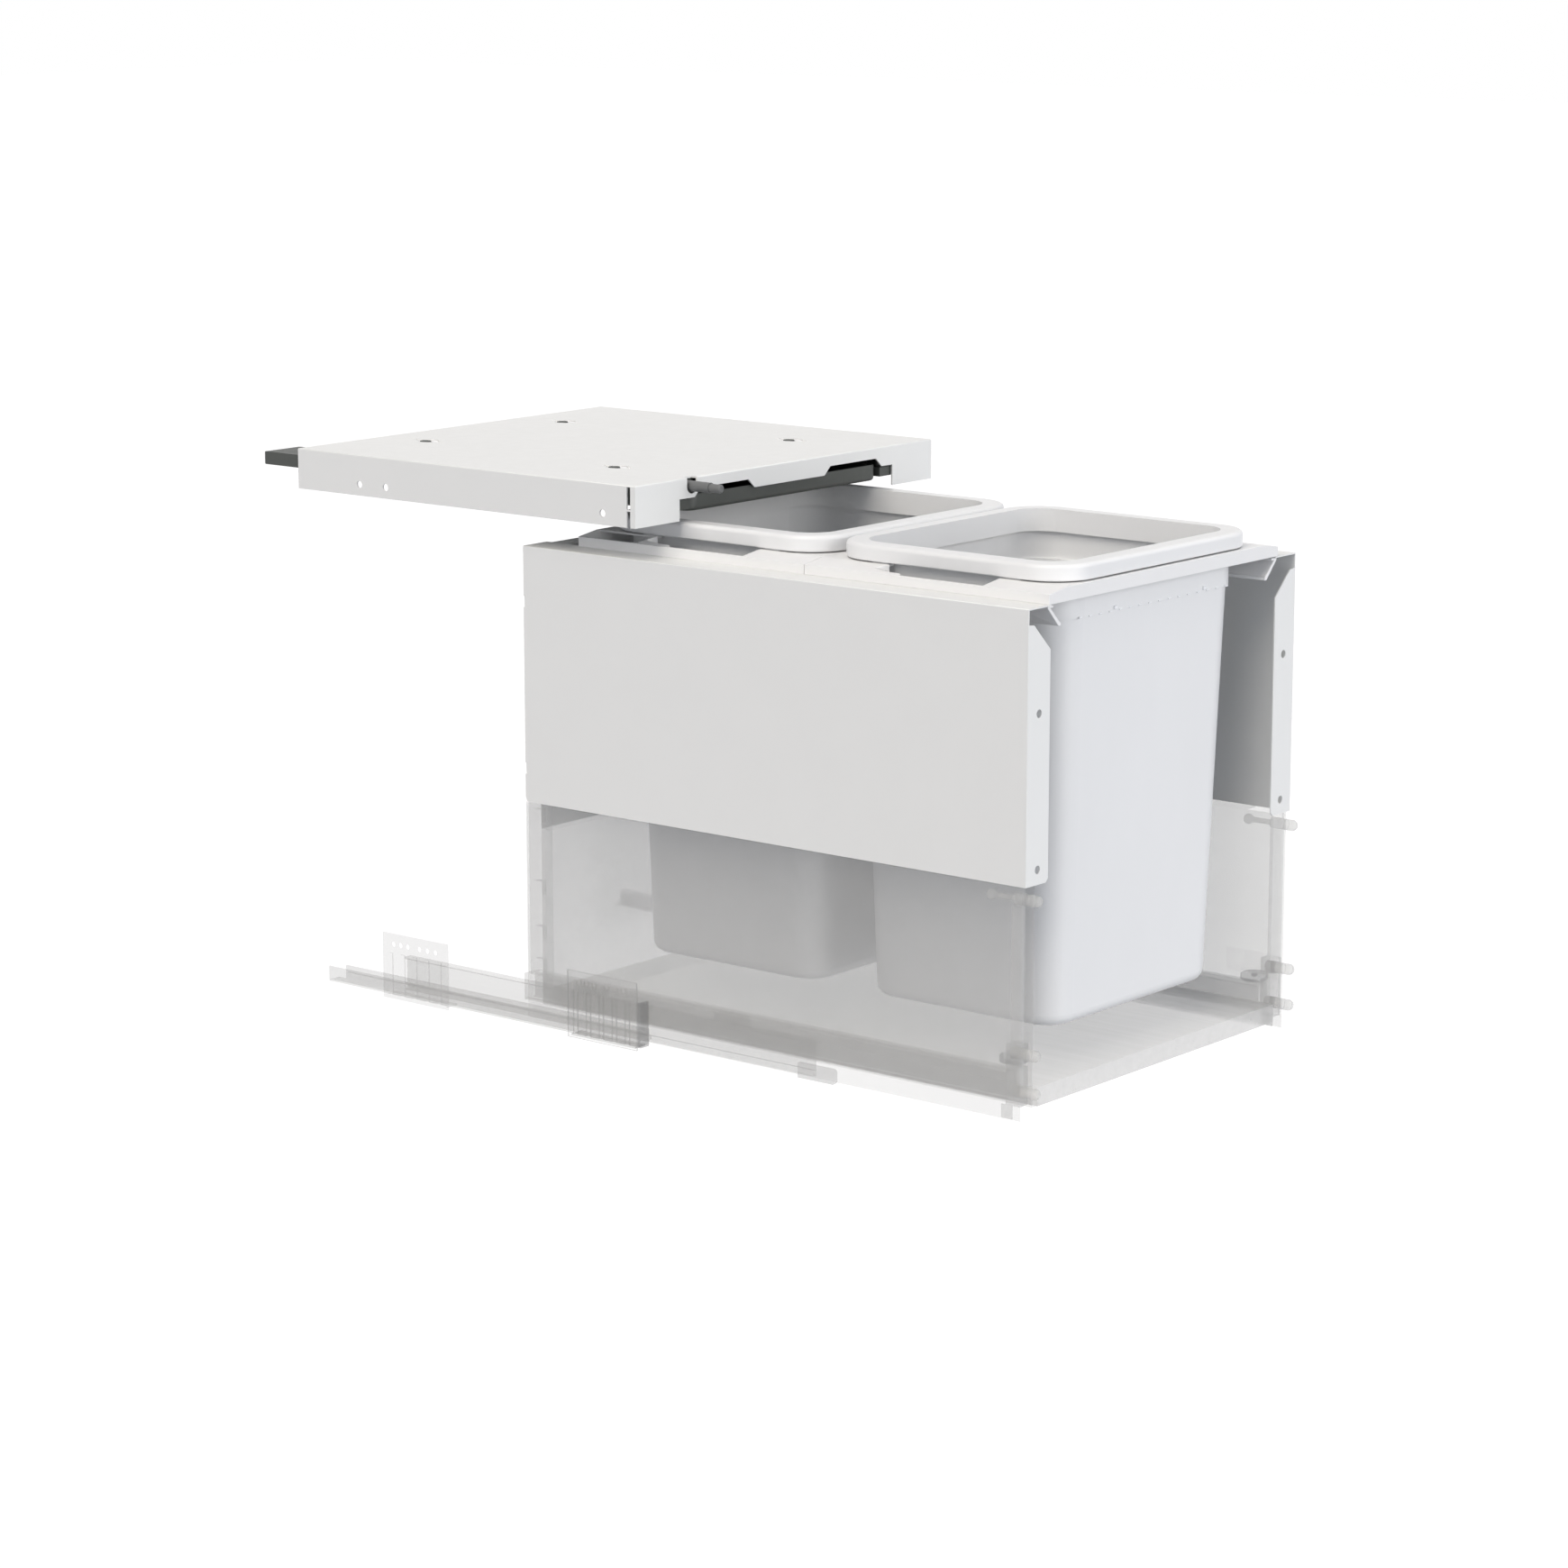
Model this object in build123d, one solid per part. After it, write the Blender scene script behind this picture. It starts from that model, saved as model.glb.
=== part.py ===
from build123d import *
import os

# Pull-out waste bin unit for a kitchen base cabinet, drawn pulled out.
# Millimetres. +X is the cabinet's width, +Y goes back into the cabinet, +Z is up.
# The origin is midway between the cabinet walls, on the plane of the cabinet's
# front edges, level with the row of screws in the wall brackets.

os.makedirs("parts", exist_ok=True)

# Cabinet and its 32 mm hole system
system_pitch = 32.0
front_setback = 37.0
cabinet_inner_width = 414.0
shelf_row_height = 13 * system_pitch
rear_bracket_step = 7 * system_pitch

# Pose: how far the drawer stands out of the cabinet, and where its front closes
pull_out = 400.0
front_gap = 2.75

# Clearances
slide_gap = 0.1
runner_gap = 0.6
bin_gap = 1.0
shelf_side_gap = 0.5
drawer_side_gap = 12.2
rail_wall_gap = 3.0
stop_gap = 0.8
rim_under_shelf = 1.7
bin_above_base = 31.7
pad_in = 43.5
base_side_gap = 0.4

# Shelf pan
shelf_depth = 401.5
shelf_height = 36.3
shelf_row_rise = 10.0
shelf_thick = 1.5
shelf_hole_r = 3.3
lid_hole_r = 10.0
lid_hole_ear = 17.0
lid_slot = 2.6
lid_hole_front_side = 85.5
lid_hole_front_y = 94.5
lid_hole_rear_side = 113.2
lid_hole_rear_back = 54.2
shelf_ear = 58.0
shelf_bend = 1.2
shelf_lip_drop = 17.5
shelf_notch_drop = 9.8
shelf_notch_slope = 8.5
shelf_left_notch = (78.0, 159.0)
shelf_right_notch = (73.7, 156.5)
shelf_rear_lip = 14.0
boss_fit = 0.6
boss_ear_fit = 0.3
boss_drop = 0.8

# Sprung plunger
plunger_side = 74.5
plunger_r = 4.6
plunger_rod = 44.0
plunger_proud = 33.0
plunger_stroke = 30.0
plunger_drop = 7.5

# Inner lid
lid_side = 73.5
lid_front = 3.5
lid_back = 26.0
lid_skirt = 14.5
guide_side = 56.5
tongue_proud = 46.5
tongue_wide = 45.0
tongue_top_drop = 6.3
tongue_thick = 11.7
tongue_tip = 3.5
tongue_back = 21.5
tongue_root = 30.0
lid_bottom_drop = 30.2

# Drawer
drawer_depth = 542.4
panel_bottom = 150.3
panel_thick = 1.2
panel_bend = 0.9
gusset_reach = 42.0
gusset_drop = 18.0
gusset_wall = 2.0
gusset_lip = 3.0
gusset_lean = 15.0
panel_flange = 30.4
flange_hole_in = 15.85
flange_hole_low = 12.5
flange_hole_step = 4 * system_pitch
flange_hole_r = 3.5
panel_notch_low = 30.0
panel_notch_high = 49.0
panel_notch_half = 5.0
back_fold = 22.0
back_ledge = 16.0
post_sheet = 1.2
post_depth = 22.0
post_lip = 9.0
post_block = 12.0
back_drop = 27.5
skin_thick = 1.0
skin_drop = 3.0
side_hollow = 19.0
side_fold = 5.0
side_return = 13.0
base_top = -19.4
base_thick = 16.0
back_thick = 12.0

# Runners
rail_channel = 13.0
rail_bottom = -47.7
rail_height = 14.0
rail_length = 377.0
rail_start = 1.25
rail_sheet = 1.2
rail_head = 3.0
stop_thick = 3.2
stop_top = -8.0
nose_reach = 19.5
nose_length = 40.0
middle_start = 222.0
middle_length = 475.5
middle_rise = 18.8
hat_width = 14.8
hat_clear = 4.0
hat_proud = 5.0
glide_gap = 0.3
glide_thick = 7.7
glide_length = 30.0
glide_behind_middle = 78.0
glide_ahead_of_back = 82.4

# Wall brackets
bracket_start = 2.0
bracket_length = 80.0
bracket_top = 9.8
bracket_drop = 3.0
bracket_sheet = 1.5
bracket_hole_r = 2.6
bracket_hole_step = 9.9
bracket_hole_step_rear = 8.8

# Bin carrier frame
frame_side_gap = 27.8
frame_short_of_back = 39.7
frame_shoulder = 24.0
frame_edge_rise = 8.5
frame_crown = 12.0
frame_wall = 2.0
frame_seam = 0.4
ramp_depth = 6.0
ramp_width = 18.0
ramp_length = 32.0

# Bins
bin_wall = 2.2
bin_undercut = 5.2
bin_undercut_drop = 20.0
rim_height = 14.0
rim_lift = 1.0
rim_corner = 39.0
rim_overhang = 10.0
rims_apart = 8.35
collar_drop = 33.0
collar_corner = 33.0
collar_step_x = 2.8
collar_step_y = 1.9
bin_taper = 10.9
bin_setback = 2.5

# Front fixings
fixing_in = 6.2
dowel_r = 4.9
dowel_upper_z = 10.5
dowel_proud = 11.0
ball_pin_drop = 11.1
block_depth = 14.0
block_wall = 1.2
block_rise = 8.2
wheel_in = 2.2
wheel_y = 22.0
wheel_r = 12.0
wheel_rise = 5.0
wheel_thick = 6.0

# Positions that follow from the sizes above
drawer_front = -(pull_out + front_gap)
wall_x = cabinet_inner_width / 2

shelf_side = wall_x - shelf_side_gap
shelf_bottom = shelf_row_height - shelf_row_rise
shelf_top = shelf_bottom + shelf_height
lid_hole_front_x = shelf_side - lid_hole_front_side
lid_hole_rear_x = shelf_side - lid_hole_rear_side
lid_hole_rear_y = shelf_depth - lid_hole_rear_back
plunger_x = plunger_side - shelf_side
lid_half_width = shelf_side - lid_side
lid_depth = shelf_depth - lid_front - lid_back
lid_bottom = shelf_top - lid_bottom_drop

drawer_side = wall_x - drawer_side_gap
inner_face = drawer_side - side_hollow
base_half = inner_face - base_side_gap
base_depth = drawer_depth - back_thick - base_side_gap

rail_outer = wall_x - rail_wall_gap
rail_inner = rail_outer - rail_channel
rail_top = rail_bottom + rail_height
skin_bottom = rail_bottom + skin_drop
bracket_bottom = rail_bottom - bracket_drop
middle_top = rail_top + middle_rise
hat_low = rail_top + hat_clear
hat_top = middle_top + glide_gap + glide_thick + rail_sheet
hat_inner = drawer_side - skin_thick - hat_width

rim_top = shelf_bottom - rim_under_shelf
rim_bottom = rim_top - rim_height
frame_base = rim_bottom - rim_lift - frame_crown
panel_top = frame_base
frame_half_width = drawer_side - frame_side_gap
frame_half_depth = (drawer_depth - frame_short_of_back) / 2
rim_half_width = frame_half_width - frame_shoulder
rim_half_depth = (frame_half_depth - rims_apart) / 2
collar_half_width = rim_half_width - rim_overhang
collar_half_depth = rim_half_depth - rim_overhang
bin_top_half_width = collar_half_width - collar_step_x
bin_top_half_depth = collar_half_depth - collar_step_y
bin_low_half_width = bin_top_half_width - bin_taper
bin_low_half_depth = bin_top_half_depth - bin_taper
bin_bottom = base_top + bin_above_base

fixing_x = drawer_side - fixing_in
block_inner = fixing_x - dowel_r - block_wall
ball_pin_z = panel_bottom - ball_pin_drop
wheel_x = inner_face + wheel_in
wheel_low = hat_top + wheel_rise
wheel_top = wheel_low + wheel_thick


def slab(x0, x1, y0, y1, z0, z1):
    """A block between two corners."""
    centre = Pos((x0 + x1) / 2, (y0 + y1) / 2, (z0 + z1) / 2)
    return centre * Box(x1 - x0, y1 - y0, z1 - z0)


def rod_y(x, z, radius, y0, y1):
    """A round bar along the depth."""
    middle = Pos(x, (y0 + y1) / 2, z)
    return middle * Rot(90, 0, 0) * Cylinder(radius, y1 - y0)


def rod_x(y, z, radius, x0, x1):
    """A round bar across the width."""
    middle = Pos((x0 + x1) / 2, y, z)
    return middle * Rot(0, 90, 0) * Cylinder(radius, x1 - x0)


def rod_z(x, y, radius, z0, z1):
    """An upright round bar."""
    return Pos(x, y, (z0 + z1) / 2) * Cylinder(radius, z1 - z0)


def profile_y(points, y0, y1):
    """A flat outline given as (x, z) points, drawn out along the depth."""
    front = Plane(origin=(0, y0, 0), x_dir=(1, 0, 0), z_dir=(0, -1, 0))
    outline = make_face(Polyline(*points, close=True))
    return extrude(front * outline, amount=-(y1 - y0))


def plate_z(points, z0, z1):
    """A flat outline given as (x, y) points, drawn upward."""
    outline = make_face(Polyline(*points, close=True))
    return extrude(Pos(0, 0, z0) * outline, amount=z1 - z0)


def rounded_block(half_x, half_y, y_mid, radius, z0, z1):
    """An upright block with rounded corners in plan."""
    outline = RectangleRounded(2 * half_x, 2 * half_y, radius)
    return extrude(Pos(0, y_mid, z0) * outline, amount=z1 - z0)


def both_sides(part):
    """The same piece on the other side of the cabinet."""
    return mirror(part, about=Plane.YZ)


# ---------------------------------------------------------------- shelf group

def shelf_pan():
    half = shelf_side
    top_z = shelf_top
    low_z = shelf_bottom
    t = shelf_thick
    slit = 5.6
    part = slab(-half, half, 0, shelf_depth, top_z - t, top_z)
    for side in (-1, 1):
        outer = side * half
        inner = side * (half - t)
        low, high = sorted((outer, inner))
        part += slab(low, high, slit + 4.0, shelf_depth, low_z, top_z)
        part += slab(low, high, 0, slit, low_z, top_z)
        tab_z = low_z + 14.0
        part += slab(low, high, slit - 0.5, slit + 4.5, tab_z, tab_z + 1.5)
    level = top_z - shelf_lip_drop
    notch = top_z - shelf_notch_drop
    slope = shelf_notch_slope
    ear = half - shelf_ear
    left_start, left_end = (x - half for x in shelf_left_notch)
    right_end, right_start = (half - x for x in shelf_right_notch)
    outline = [(-half, low_z), (-ear, low_z), (-ear, level), (left_start, level)]
    outline += [(left_start + slope, notch), (left_end - slope, notch), (left_end, level)]
    outline += [(right_start, level), (right_start + slope, notch), (right_end - slope, notch)]
    outline += [(right_end, level), (ear, level), (ear, low_z), (half, low_z)]
    outline += [(half, top_z), (-half, top_z)]
    part += profile_y(outline, 0, t)
    rear_half = half - guide_side
    part += slab(-rear_half, rear_half, shelf_depth - t, shelf_depth, top_z - shelf_rear_lip, top_z)
    bends = [e for e in part.edges() if e.center().Z > top_z - 0.01 and is_bend(e, half)]
    part = fillet(bends, shelf_bend)
    # Slot for the plunger, open at the top bend
    slot_half = 6.6
    part -= slab(plunger_x - slot_half, plunger_x + slot_half, -1, 6, top_z - 8, top_z + 1)
    part -= rod_y(plunger_x, top_z - plunger_drop, slot_half, -1, 6)
    # System holes through the side flanges
    for y in (front_setback, front_setback + 8 * system_pitch, front_setback + 9 * system_pitch):
        part -= rod_x(y, shelf_row_height, shelf_hole_r, -half - 1, half + 1)
    # Twist-lock holes for the lid's bosses
    for x, y in lid_points():
        part -= rod_z(x, y, lid_hole_r, top_z - 5, top_z + 1)
        ear_low = y - lid_hole_ear
        ear_high = y + lid_hole_ear
        part -= slab(x - lid_slot, x + lid_slot, ear_low, ear_high, top_z - 5, top_z + 1)
    return part


def is_bend(edge, half):
    """True for the shelf's outer top edges at the front and at both sides."""
    middle = edge.center()
    return edge.length > 100 and (abs(middle.X) > half - 0.01 or middle.Y < 0.01)


def lid_points():
    points = []
    for side in (-1, 1):
        points.append((side * lid_hole_front_x, lid_hole_front_y))
        points.append((side * lid_hole_rear_x, lid_hole_rear_y))
    return points


def lid_plate():
    half = lid_half_width
    mid = lid_front + lid_depth / 2
    skirt_top = lid_bottom + lid_skirt
    body = rounded_block(half, lid_depth / 2, mid, 12.0, lid_bottom, skirt_top)
    body = fillet(body.faces().sort_by(Axis.Z)[0].edges(), 3.0)
    pocket = rounded_block(half - 2.5, lid_depth / 2 - 2.5, mid, 9.5, lid_bottom + 2.5, skirt_top + 1)
    return body - pocket


def lid_boss(x, y):
    low = lid_bottom + 2.5
    high = shelf_top - boss_drop
    radius = lid_hole_r - boss_fit
    part = rod_z(x, y, radius, low, high)
    part = fillet(part.faces().sort_by(Axis.Z)[-1].edges(), 0.8)
    part -= rod_z(x, y, 3.6, high - 8.0, high + 1)
    half = lid_slot - boss_ear_fit
    reach = lid_hole_ear - boss_ear_fit
    for end in (-1, 1):
        y0, y1 = sorted((y + end * (radius - 1.0), y + end * reach))
        part += slab(x - half, x + half, y0, y1, high - 2.0, high - 0.4)
    return part


def lid_guide():
    """Right-hand guide rail under the shelf."""
    inner = lid_half_width + slide_gap
    outer = shelf_side - guide_side
    under = shelf_top - shelf_thick
    low = lid_bottom + 2.8
    ledge = low + 8.6
    part = slab(inner, outer, 2.6, shelf_depth - 2.0, low, ledge)
    return part + slab(outer - 9.5, outer, 12.0, shelf_depth - 20.0, ledge, under)


def lid_guide_left():
    """Left-hand guide rail, which also carries the tongue behind the shelf."""
    outer = shelf_side - guide_side
    low = lid_bottom + 2.8
    tongue_high = shelf_top - tongue_top_drop
    tongue_low = tongue_high - tongue_thick
    root_y1 = shelf_depth - tongue_back
    root_y0 = root_y1 - tongue_root
    end_y = shelf_depth + tongue_proud
    far_x = shelf_side - shelf_thick - 0.4
    near_x = shelf_side - tongue_wide
    outline = [
        (outer, root_y0), (far_x, root_y0), (far_x, end_y), (near_x + 4.0, end_y),
        (near_x, end_y - 5.0), (near_x, root_y1), (outer, root_y1),
    ]
    tongue = plate_z(outline, tongue_low, tongue_high)
    tip = tongue.faces().sort_by(Axis.Y)[-1].edges()
    root = slab(outer - 8.0, outer, root_y0, root_y1, low, tongue_high)
    return both_sides(lid_guide() + fillet(tip, tongue_tip) + root)


def plunger_housing():
    z = shelf_top - plunger_drop
    under = shelf_top - shelf_thick
    bore_end = plunger_rod + plunger_stroke + 2.0
    part = slab(plunger_x - 7.0, plunger_x + 8.0, 6.5, bore_end + 8.0, z - 7.0, under)
    part -= rod_y(plunger_x, z, plunger_r + slide_gap, 5.0, bore_end)
    return part


def plunger():
    z = shelf_top - plunger_drop
    tip = -plunger_proud
    shoulder = plunger_rod - 4.0
    part = rod_y(plunger_x, z, plunger_r, -plunger_proud + 12.0, shoulder)
    nose = rod_y(plunger_x, z, plunger_r - 0.8, tip, tip + 12.0)
    nose = fillet(nose.faces().sort_by(Axis.Y)[0].edges(), 1.5)
    part += nose
    part += rod_y(plunger_x, z, plunger_r - 1.6, shoulder, plunger_rod)
    return part


# ---------------------------------------------------------------- runners

def wall_bracket(start):
    """Right-hand bracket that screws to the cabinet wall."""
    face = wall_x - bracket_sheet
    end = start + bracket_length
    part = slab(face, wall_x, start, end, bracket_bottom, bracket_top)
    for i in range(5):
        rib_y = start + 10.0 + i * (bracket_length - 20.0) / 4
        part += slab(rail_outer, face, rib_y, rib_y + 5.0, rail_bottom - 1.5, bracket_top - 18.8)
    lip_y0 = start + 3.0
    lip_y1 = end - 3.0
    part += slab(rail_inner + 1.0, face, lip_y0, lip_y1, rail_bottom - 1.5, rail_bottom)
    shift = start - bracket_start
    for i in range(3):
        y = shift + front_setback - i * bracket_hole_step
        part -= rod_x(y, 0, bracket_hole_r, face - 1, wall_x + 1)
        y = shift + front_setback + system_pitch - i * bracket_hole_step_rear
        part -= rod_x(y, 0, bracket_hole_r, face - 1, wall_x + 1)
    return part


def runner_fixed():
    """Right-hand cabinet member: a U channel with a rolled head on its inner flange."""
    y0 = rail_start
    y1 = rail_start + rail_length
    t = rail_sheet
    part = slab(rail_outer - t, rail_outer, y0, y1, rail_bottom, rail_top)
    part += slab(rail_inner, rail_outer, y0, y1, rail_bottom, rail_bottom + t)
    inner_end = y1 - 10.0
    part += slab(rail_inner, rail_inner + t, y0, inner_end, rail_bottom, rail_top)
    head_low = rail_bottom + 4.0
    part += slab(rail_inner - rail_head, rail_inner, y0, inner_end, head_low, head_low + rail_head)
    return part


def rail_stop():
    """Right-hand stop on the front end of the cabinet member, beside the drawer."""
    y0 = rail_start - stop_thick
    near = drawer_side + stop_gap
    return slab(near, wall_x - stop_gap, y0, rail_start, rail_bottom, stop_top)


def runner_middle():
    """Right-hand middle member: a C channel low down and a T head on top."""
    y0 = drawer_front + middle_start
    y1 = y0 + middle_length
    t = rail_sheet
    head_low = rail_bottom + 4.0
    head_high = head_low + rail_head
    web_x = rail_inner - rail_head - runner_gap
    arm_x = rail_inner - runner_gap
    low = head_low - runner_gap - t
    part = slab(web_x - t, web_x, y0, y1, low, middle_top)
    part += slab(web_x, arm_x, y0, y1, low, low + t)
    part += slab(web_x, arm_x, y0, y1, head_high + runner_gap, head_high + runner_gap + t)
    part += slab(web_x - 4.6, web_x + 3.0, y0, y1, middle_top - 2.0, middle_top)
    return part


def runner_nose():
    """Right-hand plastic nose on the front of the middle member."""
    y0 = drawer_front + middle_start - nose_reach
    face = rail_inner - rail_head - runner_gap - rail_sheet
    low = rail_bottom - 2.8
    part = slab(face - 4.0, face, y0, y0 + nose_length, low, low + 13.0)
    part = chamfer(part.edges().filter_by(Axis.X).group_by(Axis.Y)[0], 2.0)
    return part


def runner_moving():
    """Right-hand drawer member: a hat that hangs over the middle member."""
    y0 = block_back()
    y1 = drawer_front + drawer_depth + hat_proud
    t = rail_sheet
    outer = drawer_side - skin_thick
    inner = inner_face + skin_thick
    low = hat_low
    top = hat_top
    part = slab(inner, outer, y0, y1, top - t, top)
    part += slab(outer - t, outer, y0, y1, low, top)
    part += slab(hat_inner, hat_inner + t, y0, y1, low, top)
    part += slab(outer - 4.4, outer, y0, y1, low, low + t)
    part += slab(hat_inner, hat_inner + 3.0, y0, y1, low, low + t)
    return part


def runner_glide(start):
    """Right-hand glide between the drawer member and the middle member."""
    y0 = drawer_front + start
    low = middle_top + glide_gap
    high = hat_top - rail_sheet
    outer = drawer_side - skin_thick - 2.2
    return slab(hat_inner + 2.0, outer, y0, y0 + glide_length, low, high)


# ---------------------------------------------------------------- drawer sides

def side_outer():
    """Right-hand outer skin of the hollow side, with its front return."""
    t = skin_thick
    y0 = drawer_front + 3.5
    y1 = drawer_front + drawer_depth
    part = slab(drawer_side - t, drawer_side, y0, y1, skin_bottom, panel_bottom)
    fold = drawer_side - side_fold
    part += slab(fold, drawer_side, y0, y0 + t, rail_top + runner_gap, panel_bottom)
    fold_low = dowel_upper_z + block_rise + 1.0
    fold_high = ball_pin_z - dowel_r - 1.2
    part += slab(fold, fold + t, y0, y0 + side_return, fold_low, fold_high)
    for z in (dowel_upper_z, dowel_upper_z - system_pitch, ball_pin_z):
        part -= rod_y(fixing_x, z, dowel_r + slide_gap, y0 - 1, y0 + 3)
    return part


def side_inner():
    """Right-hand inner skin, with a ledge for the base and a cap under the panel."""
    t = skin_thick
    y0 = drawer_front + 4.6
    y1 = drawer_front + drawer_depth - 1.2
    low = base_top - base_thick
    part = slab(inner_face, inner_face + t, y0, y1, low - 1.5, panel_bottom)
    part += slab(inner_face - 14.0, inner_face, y0, y1, low - 1.5, low)
    part += slab(inner_face, drawer_side - t, y0 + 30.0, y1 - 30.0, panel_bottom - t, panel_bottom)
    # Window for the rim of the adjusting wheel
    middle = drawer_front + wheel_y
    reach = wheel_r + 0.6
    low = wheel_low - 0.5
    high = wheel_top + 0.5
    part -= slab(inner_face - 1, inner_face + t, middle - reach, middle + reach, low, high)
    return part


def base_board():
    low = base_top - base_thick
    return slab(-base_half, base_half, drawer_front, drawer_front + base_depth, low, base_top)


def back_lower():
    y0 = drawer_front + base_depth
    low = base_top - base_thick
    return slab(-base_half, base_half, y0, y0 + back_thick, low, panel_bottom - back_drop)


def rear_post():
    """Right-hand rear corner post inside the hollow side."""
    y1 = drawer_front + drawer_depth
    inner = inner_face + skin_thick
    outer = drawer_side - skin_thick
    low = hat_top
    high = panel_bottom - 1.2
    y0 = y1 - post_depth
    t = post_sheet
    half = post_block / 2
    part = slab(inner, outer, y1 - t, y1, low, high)
    part += slab(outer - t, outer, y0, y1, low, high)
    part += slab(outer - post_lip, outer, y0, y0 + t, low, high)
    for z in (high - 10.6, high - 75.1, high - 116.1, high - 145.6):
        part += slab(outer - half - t, outer - t, y0 + half, y0 + 15.0, z - half, z + half)
    return part


def side_panel():
    """Right-hand white panel: side sheet, top flange and front flange."""
    t = panel_thick
    y0 = drawer_front
    y1 = drawer_front + drawer_depth
    outer = drawer_side
    part = slab(outer - t, outer, y0, y1, panel_bottom, panel_top)
    rear_low = part.edges().filter_by(Axis.X).sort_by(lambda e: e.center().Y - e.center().Z)
    part = fillet(rear_low[-1], 5.0)
    part += slab(frame_half_width - 3.4, outer, y0, y1, panel_top - t, panel_top)
    top_edges = part.edges().filter_by(Axis.Y).group_by(Axis.Z)[-1]
    part = fillet(top_edges.sort_by(Axis.X)[-1], panel_bend)
    edge = outer - panel_flange
    outline = [
        (outer, panel_bottom), (edge + 3.0, panel_bottom), (edge, panel_bottom + 3.0),
        (edge, panel_top - 36.0), (outer - 8.0, panel_top - 14.0), (outer, panel_top - 13.0),
    ]
    front = profile_y(outline, y0, y0 + t)
    for step in (0, 1):
        z = panel_bottom + flange_hole_low + step * flange_hole_step
        front -= rod_y(outer - flange_hole_in, z, flange_hole_r, y0 - 1, y0 + 3)
    part += front
    for z in (panel_bottom + panel_notch_low, panel_top - panel_notch_high):
        low = z - panel_notch_half
        high = z + panel_notch_half
        part -= slab(outer - 3, outer + 1, y1 - 2.2, y1 + 1, low, high)
    return part


def back_upper():
    t = panel_thick
    half = drawer_side - t
    y1 = drawer_front + drawer_depth
    high = panel_top - t
    part = slab(-half, half, y1 - t, y1, panel_bottom, high)
    part += slab(-base_half, base_half, y1 - t, y1, panel_bottom - back_drop, panel_bottom)
    for side in (-1, 1):
        low_x, high_x = sorted((side * half, side * (half - t)))
        part += slab(low_x, high_x, y1 - back_fold, y1, panel_bottom + 6.0, high - 4.0)
    part += slab(-half + 3.0, half - 3.0, y1 - back_ledge, y1, high - t, high)
    return part


# ---------------------------------------------------------------- carrier frame

def frame_outline(inset, base):
    """Cross-section of the carrier frame: upright sides and a crowned top."""
    edge = frame_half_width - inset
    crown = rim_half_width
    low = frame_base + base
    shoulder = frame_base + frame_edge_rise - inset
    top = frame_base + frame_crown - inset
    return [
        (-edge, low), (edge, low), (edge, shoulder), (crown, top), (-crown, top), (-edge, shoulder),
    ]


def rim_under():
    """Height of the underside of a bin's rim, where the frame's pads carry it."""
    return rim_top - bin_wall - 1.0


def frame_shell(y0, y1, y_mid):
    """One half of the carrier frame before its side openings are cut."""
    part = profile_y(frame_outline(0, 0), y0, y1)
    part -= profile_y(frame_outline(frame_wall, -1), y0 + frame_wall, y1 - frame_wall)
    opening_x = collar_half_width + bin_gap
    opening_y = collar_half_depth + bin_gap
    part -= rounded_block(opening_x, opening_y, y_mid, collar_corner, frame_base - 2, frame_base + 30)
    top = frame_base + frame_crown
    for x in (-1, 1):
        for y in (-1, 1):
            pad_x = x * (opening_x + 3.5)
            pad_y = y_mid + y * (collar_half_depth - pad_in)
            part += slab(pad_x - 2.5, pad_x + 2.5, pad_y - 8.0, pad_y + 8.0, top - 1.0, rim_under())
    return part


def side_openings(part, openings):
    outer = frame_half_width - frame_wall
    inner = rim_half_width - 2.0
    for y_outer_0, y_outer_1, y_inner_0, y_inner_1 in openings:
        for side in (-1, 1):
            points = [
                (side * outer, drawer_front + y_outer_0), (side * outer, drawer_front + y_outer_1),
                (side * inner, drawer_front + y_inner_1), (side * inner, drawer_front + y_inner_0),
            ]
            part -= plate_z(points, frame_base - 2, frame_base + 30)
            if y_inner_1 - y_outer_1 > 20:
                strip = [side * (inner + 0.5), side * (collar_half_width + bin_gap - 0.5)]
                y0 = drawer_front + y_inner_0
                y1 = drawer_front + y_inner_1
                part -= slab(min(strip), max(strip), y0, y1, frame_base - 2, frame_base + 30)
            part = finger_ramp(part, side, drawer_front + y_outer_1, drawer_front + y_inner_1)
    return part


def finger_ramp(part, side, y_outer, y_inner):
    """Scoops the frame's top down towards the slanted rear end of an opening."""
    if y_inner - y_outer < 20:
        return part
    top = frame_base + frame_crown
    deep = top - ramp_depth
    near_x = rim_half_width - 1.0
    far_x = near_x + ramp_width
    lean = (y_inner - y_outer) / (far_x + 5.0 - near_x)
    near_y = y_inner - lean
    far_y = near_y - lean * ramp_width
    end_y = far_y + ramp_length
    near_point = Vector(side * near_x, near_y, deep)
    far_point = Vector(side * far_x, far_y, deep)
    end_point = Vector(side * far_x, end_y, top)
    margin = side * 1.6
    seat = [
        (side * near_x - margin, near_y + lean * 1.6), (side * far_x + margin, far_y - lean * 1.6),
        (side * far_x + margin, end_y + 2.0), (side * near_x - margin, near_y + 5.0),
    ]
    block = plate_z(seat, deep - frame_wall, top) & profile_y(frame_outline(0, 0), far_y - 9, end_y + 9)
    across = far_point - near_point
    upward = across.cross(end_point - near_point).normalized()
    if upward.Z < 0:
        upward = upward * -1
    slope = Plane(origin=near_point, x_dir=across.normalized(), z_dir=upward)
    above = extrude(slope * Rectangle(5 * ramp_length, 5 * ramp_length), amount=20)
    scoop = [(v.X, v.Y) for v in (near_point, far_point, end_point)]
    return part + block - (above & plate_z(scoop, deep - 1.0, top + 5.0))


def bin_centre(index):
    return drawer_front + bin_setback + rim_half_depth + index * frame_half_depth


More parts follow.
